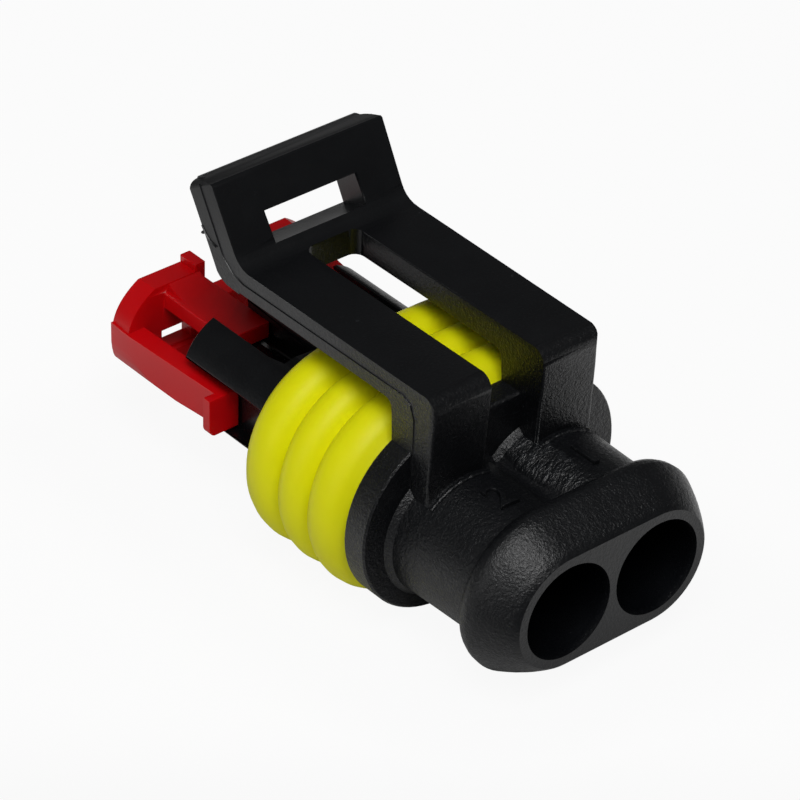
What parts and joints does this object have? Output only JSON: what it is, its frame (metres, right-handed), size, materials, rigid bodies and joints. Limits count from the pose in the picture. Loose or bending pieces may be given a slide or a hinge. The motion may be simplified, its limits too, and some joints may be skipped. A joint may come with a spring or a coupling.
{
  "type": "sealed two-way wire-to-wire plug housing",
  "caption": "Sealed plug housing with twin wire bores, sprung latch frame with thumb tab, ribbed interface seal and a slide-in lock standing open.",
  "frame": {"origin": "centre of the wire face, midway between the two wire bores", "axes": "+Y towards the mating end along the bores, +Z towards the latch frame, X across the two ways"},
  "size_m": [0.018, 0.033, 0.019],
  "materials": {
    "housing": "black glass-filled nylon, spark-eroded grain on collar, tubes and legs, smoother arm tops",
    "interface_seal": "yellow silicone rubber, satin",
    "secondary_lock": "red plastic, half-gloss, slightly translucent"
  },
  "bodies": {
    "shell": {"housing": "housing", "interface_seal": "interface_seal"},
    "lock": {"secondary_lock": "secondary_lock"}
  },
  "joints": [
    {"name": "lock_slide", "type": "slide", "parent": "shell", "child": "lock", "axis": [0, -1, 0], "range_m": [0, 0.0039]}
  ]
}
